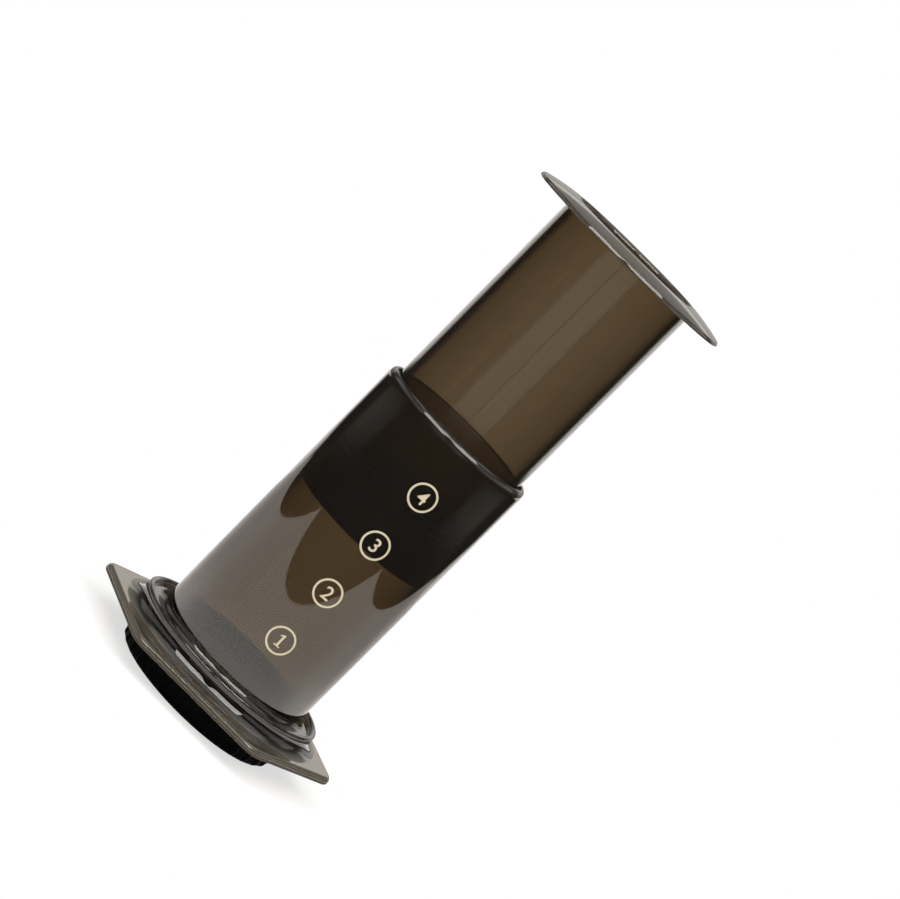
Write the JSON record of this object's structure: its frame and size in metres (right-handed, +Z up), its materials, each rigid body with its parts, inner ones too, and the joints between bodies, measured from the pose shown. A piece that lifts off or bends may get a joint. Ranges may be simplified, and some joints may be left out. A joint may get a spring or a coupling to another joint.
{
  "type": "manual coffee press",
  "caption": "Hand coffee press: smoked clear chamber on a hexagonal flange, hollow plunger with hand disc and rubber seal, and a twist-lock perforated filter cap with its paper.",
  "frame": {"origin": "on the press's axis, at the foot of the filter cap that it stands on", "axes": "+Z up along the axis towards the hand disc, two corners of the hexagonal flange on X, a flat side of it towards -Y where the numbers are"},
  "size_m": [0.108, 0.0958, 0.2186],
  "materials": {
    "smoked_clear_chamber": "smoked grey-brown clear plastic, polished",
    "smoked_clear_plunger": "smoked grey-brown clear plastic, polished",
    "black_rubber": "matt moulded rubber",
    "black_plastic": "satin moulded plastic",
    "filter_paper": "fibrous white paper",
    "cream_ink": "pad-printed cream ink"
  },
  "bodies": {
    "chamber": {"chamber": "smoked_clear_chamber"},
    "seal": {"plunger_seal": "black_rubber"},
    "plunger": {"plunger": "smoked_clear_plunger"},
    "paper": {"paper_filter": "filter_paper"},
    "cap": {"filter_cap": "black_plastic"}
  },
  "joints": [
    {"name": "plunger_slide", "type": "slide", "parent": "chamber", "child": "seal", "axis": [0, 0, 1], "range_m": [-0.077, 0.06]},
    {"name": "plunger_twist", "type": "hinge", "parent": "seal", "child": "plunger", "pos_m": [0, 0, 0.0969], "axis": [0, 0, 1], "continuous": true},
    {"name": "paper_drop", "type": "slide", "parent": "chamber", "child": "paper", "axis": [0, 0, 1], "range_m": [-0.0158, 0]},
    {"name": "cap_twist", "type": "hinge", "parent": "paper", "child": "cap", "pos_m": [0, 0, 0.005], "axis": [0, 0, 1], "range_deg": [-165, 0]}
  ],
  "couplings": [
    {"joint": "paper_drop", "follows": "cap_twist", "m_per_rad": 0.0054431}
  ]
}
